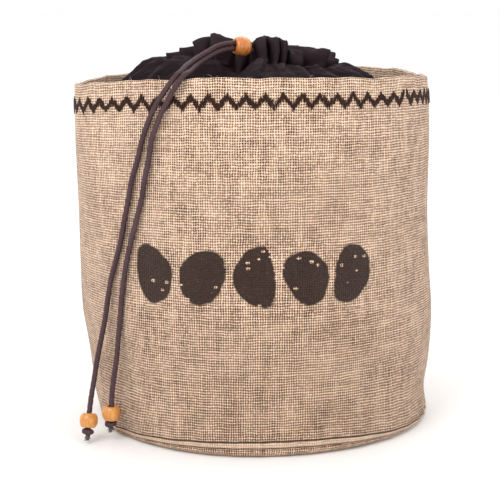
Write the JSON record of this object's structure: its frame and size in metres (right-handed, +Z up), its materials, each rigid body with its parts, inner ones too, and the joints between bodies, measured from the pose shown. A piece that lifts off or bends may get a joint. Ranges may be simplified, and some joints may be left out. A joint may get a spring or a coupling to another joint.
{
  "type": "potato storage bag",
  "caption": "Round drawstring bag of woven jute with a dark lining gathered into a crown round the mouth, drawn by cords with wooden beads.",
  "frame": {"origin": "middle of the floor under the bag's round base", "axes": "+Z up along the bag's axis, -Y to the front where the cords hang, +X to the viewer's right"},
  "size_m": [0.2645, 0.264, 0.2873],
  "materials": {
    "jute": "coarse plain woven jute, natural tan",
    "thread": "dark brown satin stitched thread",
    "lining": "plain dark cotton with a soft sheen",
    "cord": "braided dark brown cord",
    "bead": "varnished light wood"
  },
  "bodies": {
    "root": {"jute_wall": "jute", "base_panel": "jute", "zigzag_stitching": "thread", "gathered_lining": "lining", "toggle_bead": "bead", "cord_left": "cord", "cord_right": "cord", "end_bead_left": "bead", "end_bead_right": "bead", "end_knot_left": "cord", "end_knot_right": "cord"}
  },
  "joints": []
}
